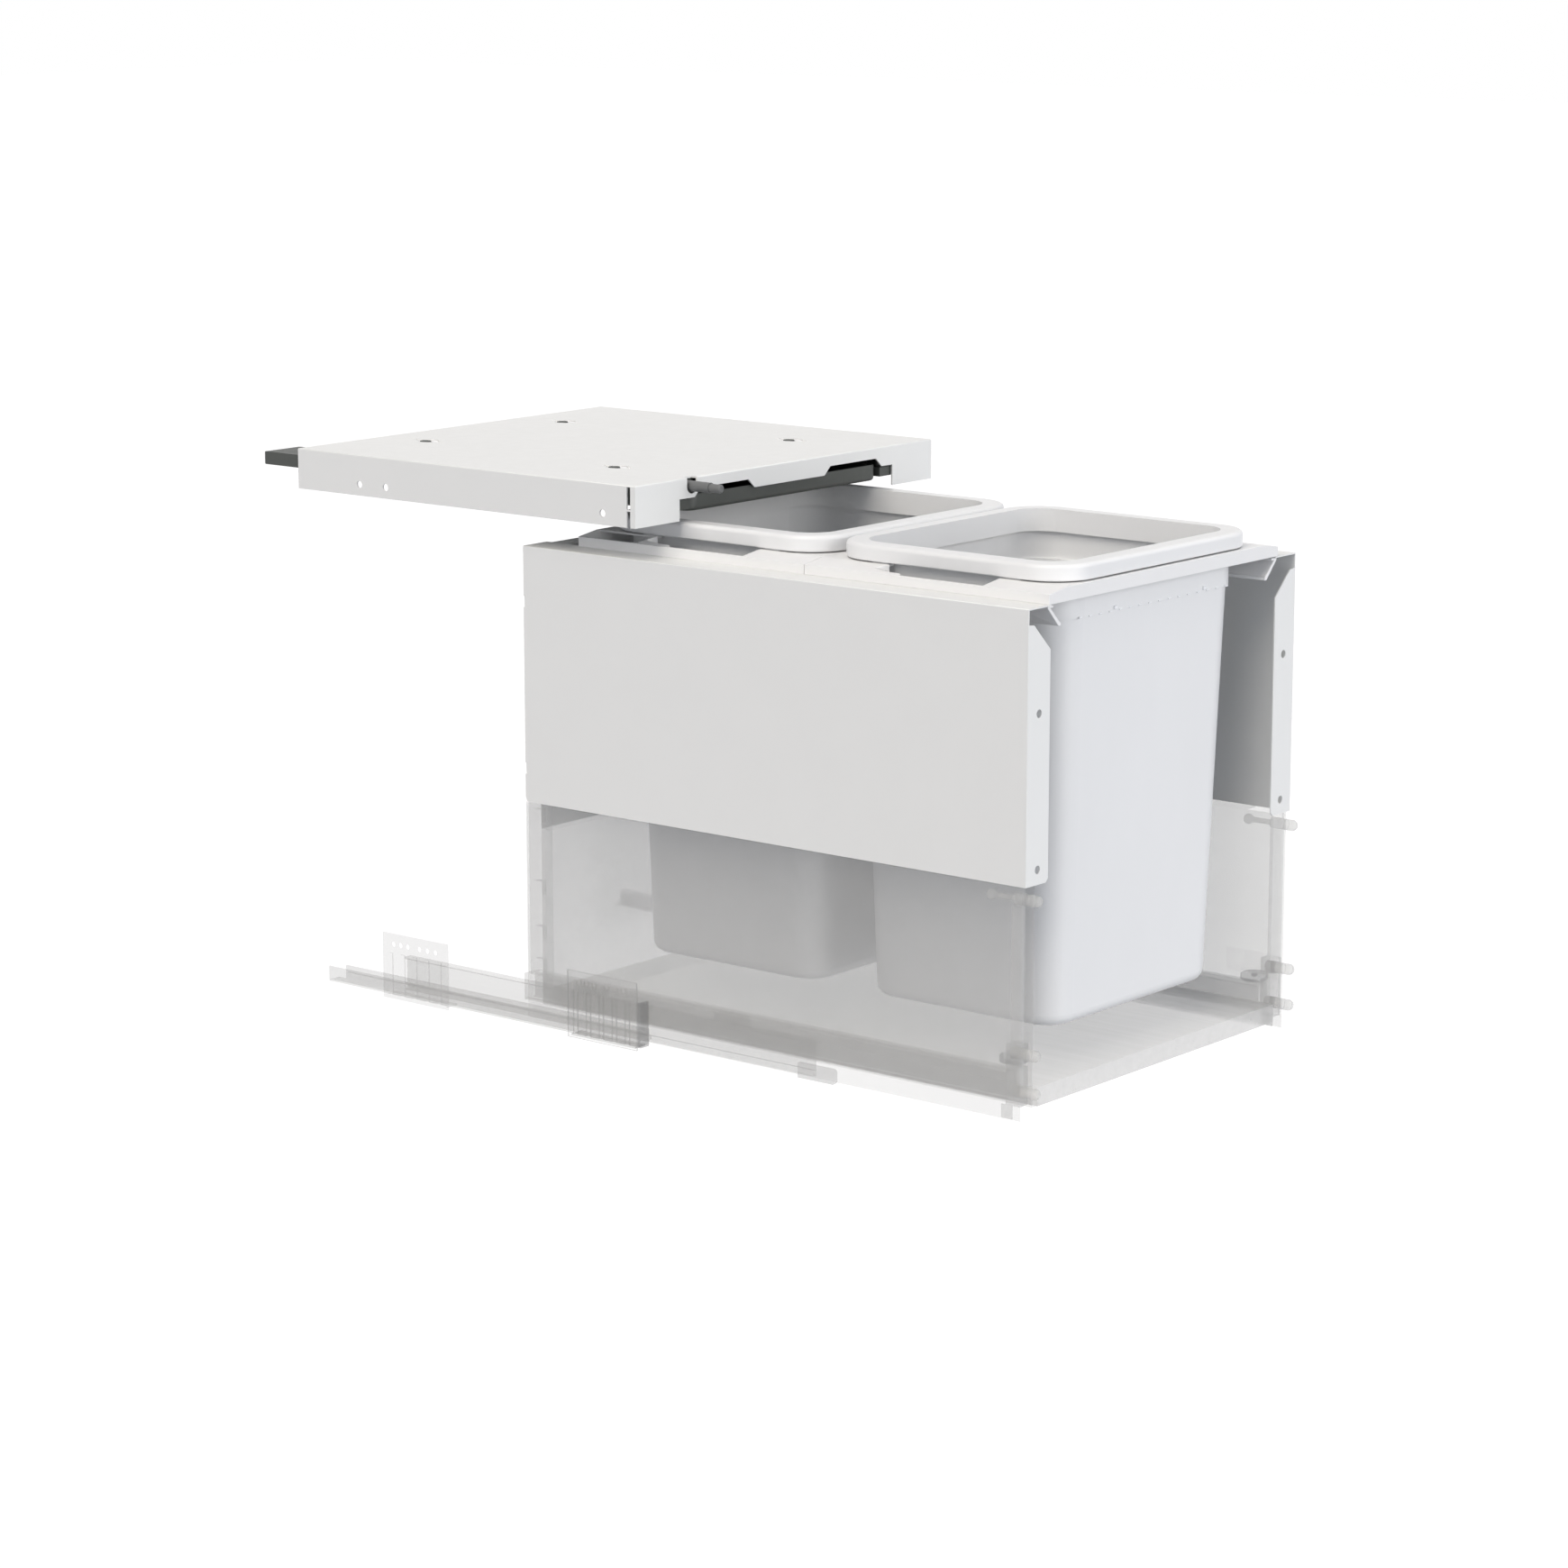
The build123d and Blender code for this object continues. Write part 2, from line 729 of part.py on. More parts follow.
def frame_front():
    y0 = drawer_front
    y1 = drawer_front + frame_half_depth - frame_seam / 2
    part = frame_shell(y0, y1, bin_centre(0))
    end = frame_half_depth
    return side_openings(part, [(67.6, end - 100.25, 67.6, end - 69.35)])


def frame_rear():
    y0 = drawer_front + frame_half_depth + frame_seam / 2
    y1 = drawer_front + 2 * frame_half_depth
    part = frame_shell(y0, y1, bin_centre(1))
    start = frame_half_depth + 67.95
    end = 2 * frame_half_depth
    first = (start, end - 103.5, start, end - 67.7)
    second = (end - 65.2, end - frame_wall, end - 65.7, end - frame_wall)
    return side_openings(part, [first, second])


def gusset():
    """Right-hand brace below the frame's front corner, leaning inwards to a lower lip."""
    y0 = drawer_front + panel_thick
    top = panel_top - panel_thick
    low = top - gusset_drop
    outer = frame_half_width
    inner = outer - gusset_lean
    seat = top - gusset_wall
    foot = low + gusset_lip
    outline = [
        (outer, top), (outer, seat), (inner, low), (inner - gusset_lip, low),
        (inner - gusset_lip, foot), (inner - gusset_wall, foot), (outer - 2 * gusset_wall, seat),
        (outer - 4 * gusset_wall, seat), (outer - 4 * gusset_wall, top),
    ]
    return profile_y(outline, y0, y0 + gusset_reach)


# ---------------------------------------------------------------- front fixings

def block_back():
    return drawer_front + 3.5 + skin_thick + block_depth


def front_block():
    """Right-hand block inside the hollow side that grips the dowels."""
    y1 = block_back()
    y0 = y1 - block_depth
    outer = drawer_side - skin_thick
    above_wheel = wheel_top + 0.5
    beside_wheel = wheel_x + wheel_r + 0.6
    part = slab(block_inner, outer, y0, y1, above_wheel, dowel_upper_z + block_rise)
    part += slab(block_inner, outer, y0, y1, rail_top + runner_gap, wheel_low)
    part += slab(beside_wheel, outer, y0, y1, wheel_low - 0.3, above_wheel)
    tab_y = drawer_front + 12.0
    part += slab(outer - 1.0, outer, tab_y, tab_y + 11.0, skin_bottom, rail_top + runner_gap)
    for z in (dowel_upper_z, dowel_upper_z - system_pitch):
        part -= rod_y(fixing_x, z, dowel_r + slide_gap, y0 - 1, y1 - 3.0)
    return part


def dowel(z):
    """Right-hand dowel for the furniture front."""
    y0 = drawer_front - dowel_proud
    y1 = block_back() - 3.0
    part = rod_y(fixing_x, z, dowel_r, y0 + 3.0, y1)
    tip = rod_y(fixing_x, z, dowel_r - 0.6, y0, y0 + 3.0)
    tip = fillet(tip.faces().sort_by(Axis.Y)[0].edges(), 2.4)
    part += tip
    return part - fixing_groove(z)


def fixing_groove(z):
    """Shallow ring groove just ahead of the drawer front."""
    y = drawer_front - 1.5
    ring = rod_y(fixing_x, z, dowel_r + 1, y, y + 0.9)
    return ring - rod_y(fixing_x, z, dowel_r - 0.5, y - 1, y + 2)


def ball_pin():
    """Right-hand pin with a ball at its inner end."""
    z = ball_pin_z
    y0 = drawer_front - dowel_proud
    collar_y = drawer_front + 3.5 + skin_thick
    ball_y = drawer_front + 38.0
    part = rod_y(fixing_x, z, dowel_r, y0 + 3.0, collar_y)
    tip = rod_y(fixing_x, z, dowel_r - 0.6, y0, y0 + 3.0)
    tip = fillet(tip.faces().sort_by(Axis.Y)[0].edges(), 2.4)
    part += tip
    part -= fixing_groove(z)
    part += rod_y(fixing_x, z, dowel_r + 0.25, collar_y, collar_y + 9.0)
    part += rod_y(fixing_x, z, 2.4, collar_y + 9.0, ball_y)
    part += Pos(fixing_x, ball_y, z) * Sphere(4.6)
    return part


def adjuster():
    """Right-hand wheel that lies on the front block's ledge."""
    y = drawer_front + wheel_y
    part = rod_z(wheel_x, y, wheel_r, wheel_low, wheel_top)
    part = chamfer(part.edges().filter_by(GeomType.CIRCLE), 0.8)
    part -= rod_z(wheel_x, y, 2.6, wheel_top - 3.0, wheel_top + 1)
    return part


def side_cover():
    """Right-hand cover plate on the inner skin."""
    y0 = drawer_front + 6.0
    part = slab(inner_face - 1.0, inner_face, y0, y0 + 43.0, 5.3, 25.3)
    return part


# ---------------------------------------------------------------- bins

def bin_body(index):
    y_mid = bin_centre(index)
    low = bin_bottom
    collar_low = rim_top - rim_height - collar_drop
    bottom = Pos(0, y_mid, low) * RectangleRounded(2 * bin_low_half_width, 2 * bin_low_half_depth, 27.0)
    top = RectangleRounded(2 * bin_top_half_width, 2 * bin_top_half_depth, 31.0)
    body = loft([bottom, Pos(0, y_mid, collar_low + 1) * top], ruled=True)
    body = fillet(body.faces().sort_by(Axis.Z)[0].edges(), 10.0)
    body += rounded_block(
        collar_half_width, collar_half_depth, y_mid, collar_corner, collar_low, rim_bottom + 5)
    rim = rounded_block(rim_half_width, rim_half_depth, y_mid, rim_corner, rim_bottom, rim_top)
    rim = fillet(rim.faces().sort_by(Axis.Z)[-1].edges(), 4.0)
    rim = fillet(rim.faces().sort_by(Axis.Z)[0].edges(), 1.5)
    body += rim
    w = bin_wall
    in_low = Pos(0, y_mid, low + w) * RectangleRounded(
        2 * (bin_low_half_width - w), 2 * (bin_low_half_depth - w), 27.0 - w)
    in_top = RectangleRounded(2 * (bin_top_half_width - w), 2 * (bin_top_half_depth - w), 31.0 - w)
    inside = loft([in_low, Pos(0, y_mid, collar_low + 3) * in_top], ruled=True)
    inside = fillet(inside.faces().sort_by(Axis.Z)[0].edges(), 8.0)
    step = rim_top - bin_undercut_drop
    inside += rounded_block(
        collar_half_width - w, collar_half_depth - w, y_mid, collar_corner - w, collar_low + 2.5, step)
    band = bin_undercut + w
    inside += rounded_block(
        collar_half_width - band, collar_half_depth - band, y_mid, collar_corner - band, step - 1,
        rim_top + 2)
    body -= inside
    hollow = rounded_block(
        rim_half_width - w, rim_half_depth - w, y_mid, rim_corner - w, rim_bottom - 1, rim_under())
    band = bin_undercut
    hollow -= rounded_block(
        collar_half_width - band, collar_half_depth - band, y_mid, collar_corner - band,
        rim_bottom - 2, rim_top)
    body -= hollow
    return body


# ---------------------------------------------------------------- write the pieces

def save(part, name):
    export_step(part, "parts/" + name + ".step")


def save_pair(part, name):
    save(part, name + "_right")
    save(both_sides(part), name + "_left")


def main():
    save(shelf_pan(), "shelf_pan")
    save(lid_plate(), "lid_plate")
    save(lid_boss(lid_hole_front_x, lid_hole_front_y), "lid_boss_front_right")
    save(lid_boss(-lid_hole_front_x, lid_hole_front_y), "lid_boss_front_left")
    save(lid_boss(lid_hole_rear_x, lid_hole_rear_y), "lid_boss_rear_right")
    save(lid_boss(-lid_hole_rear_x, lid_hole_rear_y), "lid_boss_rear_left")
    save(lid_guide(), "lid_guide_right")
    save(lid_guide_left(), "lid_guide_left")
    save(plunger_housing(), "plunger_housing")
    save(plunger(), "plunger")
    save_pair(wall_bracket(bracket_start), "bracket_front")
    save_pair(wall_bracket(bracket_start + rear_bracket_step), "bracket_rear")
    save_pair(runner_fixed(), "runner_fixed")
    save_pair(rail_stop(), "rail_stop")
    save_pair(runner_middle(), "runner_middle")
    save_pair(runner_nose(), "runner_nose")
    save_pair(runner_moving(), "runner_moving")
    save_pair(runner_glide(middle_start + glide_behind_middle), "glide_front")
    save_pair(runner_glide(drawer_depth - glide_ahead_of_back), "glide_rear")
    save_pair(side_outer(), "side_outer")
    save_pair(side_inner(), "side_inner")
    save(base_board(), "base_board")
    save(back_lower(), "back_lower")
    save_pair(rear_post(), "rear_post")
    save_pair(side_panel(), "side_panel")
    save(back_upper(), "back_upper")
    save(frame_front(), "frame_front")
    save(frame_rear(), "frame_rear")
    save_pair(gusset(), "gusset")
    save_pair(front_block(), "front_block")
    save_pair(dowel(dowel_upper_z), "dowel_upper")
    save_pair(dowel(dowel_upper_z - system_pitch), "dowel_lower")
    save_pair(ball_pin(), "ball_pin")
    save_pair(adjuster(), "adjuster")
    save_pair(side_cover(), "side_cover")
    save(bin_body(0), "bin_front")
    save(bin_body(1), "bin_rear")


main()
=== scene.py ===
import math

import bmesh
import bpy
from bpy.props import FloatProperty, FloatVectorProperty, PointerProperty
from mathutils import Matrix, Vector


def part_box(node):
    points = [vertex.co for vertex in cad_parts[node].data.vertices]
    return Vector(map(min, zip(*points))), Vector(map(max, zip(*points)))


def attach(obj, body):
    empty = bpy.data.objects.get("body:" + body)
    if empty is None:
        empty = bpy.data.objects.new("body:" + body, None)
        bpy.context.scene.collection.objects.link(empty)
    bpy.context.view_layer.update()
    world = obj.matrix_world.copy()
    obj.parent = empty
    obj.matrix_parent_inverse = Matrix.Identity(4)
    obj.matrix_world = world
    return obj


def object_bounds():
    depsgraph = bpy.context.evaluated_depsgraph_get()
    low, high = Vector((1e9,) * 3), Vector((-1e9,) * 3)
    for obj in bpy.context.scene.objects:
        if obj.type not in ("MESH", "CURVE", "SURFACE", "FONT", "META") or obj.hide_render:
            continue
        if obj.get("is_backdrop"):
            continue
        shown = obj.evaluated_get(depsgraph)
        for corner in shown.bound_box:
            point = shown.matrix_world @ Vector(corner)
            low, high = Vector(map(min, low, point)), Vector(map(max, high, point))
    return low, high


bl_info = {
    "name": "Pull-out waste bin unit",
    "version": (1, 0, 0),
    "blender": (4, 5, 0),
    "location": "3D View > Sidebar > Waste Bin",
    "description": "Finishes, small moulded details and stage for a pull-out waste bin unit",
    "category": "Object",
}

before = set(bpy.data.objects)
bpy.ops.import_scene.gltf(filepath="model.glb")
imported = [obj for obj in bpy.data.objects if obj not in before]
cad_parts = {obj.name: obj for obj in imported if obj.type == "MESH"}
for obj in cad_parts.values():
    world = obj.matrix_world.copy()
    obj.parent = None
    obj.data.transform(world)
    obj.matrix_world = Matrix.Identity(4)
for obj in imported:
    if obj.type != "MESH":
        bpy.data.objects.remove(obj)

# Sizes of the small moulded details, in metres. A bin's own box, from which the places of its
# beads and studs count, is as wide and as high as its rim.
COLLAR_SETBACK = 0.010       # face of the collar, behind the rim's front edge
BEAD_REACH = 0.108           # room for beads on each side of the bin's middle
BEAD_DROP = 0.0464           # middle of the beads, below the rim's top
BEAD_DEPTH, BEAD_HEIGHT = 0.0016, 0.0014
BEAD_ROUNDING = 0.0004
STUD_PLACES = (-0.057, 0.073)    # along the bin's front, from its middle
STUD_DROP = 0.0440           # middle of the studs, below the rim's top
STUD_DEPTH, STUD_HEIGHT = 0.003, 0.0036
STUD_ROUNDING = 0.0013
PLUG_DEPTH = 0.0012          # half of it stands out of the boss
PLUG_ROUNDING = 0.0004

# Finishes
NOISE_RANGE = (0.3, 0.7)     # nearly all values of the noise texture lie between these
BIN_GLOSS = 0.06             # the bins are this much smoother than the other white plastics
COVER_PLATE_SHARE = 1 / 3    # cover of the small cover plates, as a share of the hollow sides'
BOARD_GRAIN = (1, 0.05, 1)   # streaks that run from front to back
ROLLED_GRAIN = (1, 0.03, 1)

# Edges
SHARP_ANGLE = math.radians(40)   # edges that turn by more than this are rounded
WELD_REACH = 0.00001         # points closer than this become one point, in metres
SAME_PLACE = 1e-6            # heights that differ by less are the same, in metres


# ---------------------------------------------------------------- settings

class SteelSettings(bpy.types.PropertyGroup):
    """White powder-coated sheet steel."""
    colour: FloatVectorProperty(
        name="Colour", description="Colour of the powder coat", subtype="COLOR",
        default=(0.805, 0.81, 0.795), min=0, max=1)
    roughness: FloatProperty(
        name="Roughness", description="Mean roughness of the coat", default=0.38, min=0, max=1)
    peel: FloatProperty(
        name="Orange peel", description="Size of the coat's fine ripple", unit="LENGTH",
        default=0.0011, min=0.0001, max=0.01)
    bend: FloatProperty(
        name="Bend radius", description="Rounding along the folded edges", unit="LENGTH",
        default=0.0005, min=0, max=0.003)


class PlasticSettings(bpy.types.PropertyGroup):
    """White and dark moulded plastics."""
    frame_colour: FloatVectorProperty(
        name="Frame colour", description="Colour of the carrier frame", subtype="COLOR",
        default=(0.82, 0.82, 0.815), min=0, max=1)
    bin_colour: FloatVectorProperty(
        name="Bin colour", description="Colour of the bins", subtype="COLOR",
        default=(0.80, 0.805, 0.805), min=0, max=1)
    # The bosses are white plastic, but their near-full white, above the frame's and bins' white, is
    # a painted highlight on their tops.
    boss_highlight_colour: FloatVectorProperty(
        name="Boss colour", description="Colour of the lid's bosses", subtype="COLOR",
        default=(0.98, 0.98, 0.98), min=0, max=1)
    dark_colour: FloatVectorProperty(
        name="Dark colour", description="Colour of the lid and its guides", subtype="COLOR",
        default=(0.050, 0.055, 0.050), min=0, max=1)
    plunger_colour: FloatVectorProperty(
        name="Plunger colour", description="Colour of the sprung plunger", subtype="COLOR",
        default=(0.13, 0.134, 0.134), min=0, max=1)
    roughness: FloatProperty(
        name="Roughness", description="Mean roughness of the white plastics", default=0.38,
        min=0, max=1)
    edge: FloatProperty(
        name="Edge radius", description="Rounding along the moulded edges", unit="LENGTH",
        default=0.0006, min=0, max=0.003)


class DetailSettings(bpy.types.PropertyGroup):
    """Small moulded details on the bins."""
    bead_step: FloatProperty(
        name="Bead spacing", description="Distance between the beads under the collar",
        unit="LENGTH", default=0.0142, min=0.005, max=0.05)
    bead_width: FloatProperty(
        name="Bead width", description="Width of one bead", unit="LENGTH", default=0.0042,
        min=0.001, max=0.01)
    stud_width: FloatProperty(
        name="Stud width", description="Width of the two studs on the collar", unit="LENGTH",
        default=0.0052, min=0.001, max=0.01)


class PlugSettings(bpy.types.PropertyGroup):
    """Dark plugs in the lid's bosses."""
    plug_radius: FloatProperty(
        name="Plug radius", description="Radius of one plug", unit="LENGTH", default=0.0052,
        min=0.001, max=0.008)
    plug_shift: FloatProperty(
        name="Plug shift", description="How far a plug stands behind the middle of its boss",
        unit="LENGTH", default=0.004, min=0, max=0.01)


class ClearSettings(bpy.types.PropertyGroup):
    """The parts that are drawn see-through. A cover counts for each face that one looks through."""
    sheet_colour: FloatVectorProperty(
        name="Sheet colour", description="Colour of the hollow sides", subtype="COLOR",
        default=(0.67, 0.67, 0.655), min=0, max=1)
    sheet_cover: FloatProperty(
        name="Sheet cover", description="Cover of the hollow sides", default=0.18, min=0, max=1)
    # The base board and the lower back are the same white board. The base board's darker colour is
    # painted shade, and the lower back's near-white colour is painted light that makes up for the
    # shade the bins and sides cast on it.
    board_shaded_colour: FloatVectorProperty(
        name="Board colour", description="Colour of the base board", subtype="COLOR",
        default=(0.60, 0.60, 0.585), min=0, max=1)
    back_lit_colour: FloatVectorProperty(
        name="Lower back colour", description="Colour of the lower back", subtype="COLOR",
        default=(0.98, 0.98, 0.97), min=0, max=1)
    base_cover: FloatProperty(
        name="Base cover", description="Cover of the base board", default=0.36, min=0, max=1)
    back_cover: FloatProperty(
        name="Back cover", description="Cover of the lower back", default=0.34, min=0, max=1)
    metal_colour: FloatVectorProperty(
        name="Metal colour", description="Colour of the runners and brackets", subtype="COLOR",
        default=(0.36, 0.36, 0.35), min=0, max=1)
    bracket_cover: FloatProperty(
        name="Rear bracket cover", description="Cover of the rear wall brackets", default=0.14,
        min=0, max=1)
    front_bracket_colour: FloatVectorProperty(
        name="Front bracket colour", description="Colour of the front wall brackets",
        subtype="COLOR", default=(0.26, 0.26, 0.255), min=0, max=1)
    front_bracket_cover: FloatProperty(
        name="Front bracket cover", description="Cover of the front wall brackets", default=0.08,
        min=0, max=1)
    bracket_edge_cover: FloatProperty(
        name="Bracket edge cover", description="Cover of the brackets' rib sides and hole walls",
        default=0.36, min=0, max=1)
    runner_cover: FloatProperty(
        name="Runner cover", description="Cover of the runner members", default=0.20, min=0, max=1)
    plastic_colour: FloatVectorProperty(
        name="Plastic colour", description="Colour of the small plastic parts", subtype="COLOR",
        default=(0.40, 0.40, 0.39), min=0, max=1)
    plastic_cover: FloatProperty(
        name="Plastic cover", description="Cover of the small plastic parts", default=0.25, min=0,
        max=1)
    wheel_colour: FloatVectorProperty(
        name="Wheel colour", description="Colour of the adjusting wheels and rail stops",
        subtype="COLOR", default=(0.12, 0.125, 0.13), min=0, max=1)
    wheel_cover: FloatProperty(
        name="Wheel cover", description="Cover of the adjusting wheels and rail stops",
        default=0.30, min=0, max=1)
    fixing_colour: FloatVectorProperty(
        name="Fixing colour", description="Colour of the dowels and ball pins", subtype="COLOR",
        default=(0.62, 0.62, 0.60), min=0, max=1)
    fixing_cover: FloatProperty(
        name="Fixing cover", description="Cover of the dowels and ball pins", default=0.30, min=0,
        max=1)


class StageSettings(bpy.types.PropertyGroup):
    """Camera, lamps, floor and background."""
    camera_place: FloatVectorProperty(
        name="Camera", description="Where the camera stands", subtype="TRANSLATION",
        default=(-3.03434, -2.46017, 0.95276))
    azimuth: FloatProperty(
        name="Azimuth", description="Camera's turn round the object", subtype="ANGLE",
        default=math.radians(-50.9))
    elevation: FloatProperty(
        name="Elevation", description="Camera's height angle", subtype="ANGLE",
        default=math.radians(11.57))
    lens: FloatProperty(name="Lens", description="Focal length in mm", default=102.6, min=10)
    ambient: FloatProperty(
        name="Ambient", description="Level of the even light from all round", default=0.31, min=0)
    ambient_colour: FloatVectorProperty(
        name="Ambient colour", description="Tint of the even light", subtype="COLOR",
        default=(0.82, 0.86, 1.0), min=0, max=1)
    key: FloatProperty(
        name="High left lamp", description="Strength of the main lamp, high at the left",
        default=2.0, min=0)
    key_colour: FloatVectorProperty(
        name="High left colour", description="Tint of the main lamp", subtype="COLOR",
        default=(1.0, 0.935, 0.845), min=0, max=1)
    side: FloatProperty(
        name="Low left lamp", description="Strength of the low lamp at the left", default=0.40,
        min=0)
    fill: FloatProperty(
        name="Front lamp", description="Strength of the lamp at the front", default=1.62, min=0)
    off: FloatProperty(
        name="Right lamp", description="Strength of the weak lamp at the front right",
        default=0.38, min=0)
    floor_drop: FloatProperty(
        name="Floor depth", description="How far the floor lies below the unit's lowest point",
        unit="LENGTH", default=0.9, min=0)
    floor_size: FloatProperty(
        name="Floor size", description="Length of the square floor's sides", unit="LENGTH",
        default=60, min=1)
    floor_colour: FloatVectorProperty(
        name="Floor colour", description="Colour of the floor, on which the shadow falls",
        subtype="COLOR", default=(0.30, 0.30, 0.30), min=0, max=1)
    floor_glow: FloatProperty(
        name="Floor glow", description="Light that the floor adds, so that it shows as white",
        default=0.80, min=0, max=1)


# ---------------------------------------------------------------- shader helpers

def new_material(name):
    """A material that has only a principled shader, with its node tree and that shader."""
    material = bpy.data.materials.new(name)
    material.use_nodes = True
    tree = material.node_tree
    return material, tree, tree.nodes["Principled BSDF"]


def object_place(tree):
    """Where a point lies on its own object."""
    return tree.nodes.new("ShaderNodeTexCoord").outputs["Object"]


def noise(tree, place, size, detail=2.0, stretch=(1, 1, 1)):
    """Noise whose features are about size metres across.

    A stretch of less than 1 draws them out along that axis.
    """
    mapping = tree.nodes.new("ShaderNodeMapping")
    mapping.inputs["Scale"].default_value = stretch
    tree.links.new(place, mapping.inputs["Vector"])
    node = tree.nodes.new("ShaderNodeTexNoise")
    node.inputs["Scale"].default_value = 1.0 / size
    node.inputs["Detail"].default_value = detail
    tree.links.new(mapping.outputs["Vector"], node.inputs["Vector"])
    return node.outputs["Fac"]


def span(tree, value, low, high):
    """Turns noise into a value between low and high."""
    node = tree.nodes.new("ShaderNodeMapRange")
    node.inputs["From Min"].default_value = NOISE_RANGE[0]
    node.inputs["From Max"].default_value = NOISE_RANGE[1]
    node.inputs["To Min"].default_value = low
    node.inputs["To Max"].default_value = high
    tree.links.new(value, node.inputs["Value"])
    return node.outputs["Result"]


def mottle(tree, shader, value, colour, depth):
    """Base colour that wanders a little round the stated one."""
    mix = tree.nodes.new("ShaderNodeMix")
    mix.data_type = "RGBA"
    mix.inputs["A"].default_value = [c * (1 - depth) for c in colour] + [1]
    mix.inputs["B"].default_value = [min(1, c * (1 + depth)) for c in colour] + [1]
    tree.links.new(span(tree, value, 0, 1), mix.inputs["Factor"])
    tree.links.new(mix.outputs["Result"], shader.inputs["Base Color"])


def uneven_roughness(tree, shader, value, mean, spread):
    """Roughness that wanders by the spread on both sides of its mean."""
    tree.links.new(span(tree, value, mean - spread, mean + spread), shader.inputs["Roughness"])


def ripple(tree, shader, height, depth, strength):
    """Fine relief from a height value."""
    bump = tree.nodes.new("ShaderNodeBump")
    bump.inputs["Distance"].default_value = depth
    bump.inputs["Strength"].default_value = strength
    tree.links.new(height, bump.inputs["Height"])
    tree.links.new(bump.outputs["Normal"], shader.inputs["Normal"])


def powder_coat(name, colour, roughness, peel):
    """Baked powder coat: faint orange peel, satin sheen, barely uneven colour."""
    material, tree, shader = new_material(name)
    place = object_place(tree)
    mottle(tree, shader, noise(tree, place, size=0.05, detail=3), colour, depth=0.006)
    uneven_roughness(
        tree, shader, noise(tree, place, size=0.012, detail=3), roughness, spread=0.05)
    ripple(tree, shader, noise(tree, place, peel), depth=0.00004, strength=0.25)
    return material


def moulded(name, colour, roughness, grain, depth, uneven=0.008):
    """Injection-moulded plastic: fine texture from the mould and slight flow unevenness."""
    material, tree, shader = new_material(name)
    place = object_place(tree)
    flow = noise(tree, place, size=0.04, stretch=(1, 1, 0.4))
    mottle(tree, shader, flow, colour, uneven)
    uneven_roughness(
        tree, shader, noise(tree, place, size=0.006, detail=3), roughness, spread=0.04)
    ripple(tree, shader, noise(tree, place, grain, detail=3), depth, strength=0.3)
    shader.inputs["IOR"].default_value = 1.49
    return material


def see_through(name, colour, alpha, roughness, stretch=(1, 1, 1), edge_alpha=None):
    """A part shown as a pale see-through body, with the grain of its sheet still on it.

    The alpha is its cover. Where an edge_alpha is given, it is the cover of faces that don't
    face left or right.
    """
    material, tree, shader = new_material(name)
    place = object_place(tree)
    streaks = noise(tree, place, size=0.01, detail=3, stretch=stretch)
    mottle(tree, shader, streaks, colour, depth=0.05)
    wear = noise(tree, place, size=0.004, detail=3, stretch=stretch)
    uneven_roughness(tree, shader, wear, roughness, spread=0.06)
    grain = noise(tree, place, size=0.0015, stretch=stretch)
    ripple(tree, shader, grain, depth=0.00003, strength=0.2)
    shader.inputs["Alpha"].default_value = alpha
    if edge_alpha is not None:
        split = tree.nodes.new("ShaderNodeSeparateXYZ")
        tree.links.new(place.node.outputs["Normal"], split.inputs["Vector"])
        sideways = tree.nodes.new("ShaderNodeMath")
        sideways.operation = "ABSOLUTE"
        tree.links.new(split.outputs["X"], sideways.inputs[0])
        cover = tree.nodes.new("ShaderNodeMapRange")
        cover.inputs["To Min"].default_value = edge_alpha
        cover.inputs["To Max"].default_value = alpha
        tree.links.new(sideways.outputs["Value"], cover.inputs["Value"])
        tree.links.new(cover.outputs["Result"], shader.inputs["Alpha"])
    return material


def paint(names, material):
    """Puts one finish on CAD nodes."""
    for name in names:
        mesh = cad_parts[name].data
        mesh.materials.clear()
        mesh.materials.append(material)


def paint_clear(names, material):
    """A see-through finish on CAD nodes, which then hold back no light."""
    paint(names, material)
    for name in names:
        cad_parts[name].visible_shadow = False


def soften(names, width):
    """Small rounding along the sharp edges of CAD nodes."""
    for name in names:
        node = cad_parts[name]
        weld = node.modifiers.new("Join", "WELD")
        weld.merge_threshold = WELD_REACH
        bevel = node.modifiers.new("Edges", "BEVEL")
        bevel.width = width
        bevel.segments = 2
        bevel.limit_method = "ANGLE"
        bevel.angle_limit = SHARP_ANGLE
        bevel.use_clamp_overlap = True
        bevel.harden_normals = True


def pair(name):
    """The names of a CAD node's left and right copies."""
    return [name + "_left", name + "_right"]


def new_piece(name, mesh, body, material):
    """Makes a piece of its own out of a mesh, with its finish, and rides it on a body."""
    data = bpy.data.meshes.new(name)
    mesh.to_mesh(data)
    mesh.free()
    for face in data.polygons:
        face.use_smooth = True
    data.materials.append(material)
    piece = bpy.data.objects.new(name, data)
    bpy.context.scene.collection.objects.link(piece)
    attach(piece, body)


def rounded_nub(mesh, centre, size, rounding):
    """Adds one small block with rounded edges to a mesh."""
    place = Matrix.Translation(centre) @ Matrix.Diagonal((size[0], size[1], size[2], 1))
    made = bmesh.ops.create_cube(mesh, size=1, matrix=place)
    edges = {edge for vertex in made["verts"] for edge in vertex.link_edges}
    bmesh.ops.bevel(
        mesh, geom=list(edges), offset=rounding, segments=3, profile=0.5, affect="EDGES")


# ---------------------------------------------------------------- operators

class WASTEBIN_OT_steel(bpy.types.Operator):
    """Powder coat on the shelf, the side panels and the upper back"""
    bl_idname = "wastebin.steel"
    bl_label = "Steel parts"

    def execute(self, context):
        s = context.scene.wastebin_steel
        nodes = ["shelf_pan", "back_upper"] + pair("side_panel")
        paint(nodes, powder_coat("white_steel", s.colour, s.roughness, s.peel))
        soften(nodes, s.bend)
        return {"FINISHED"}


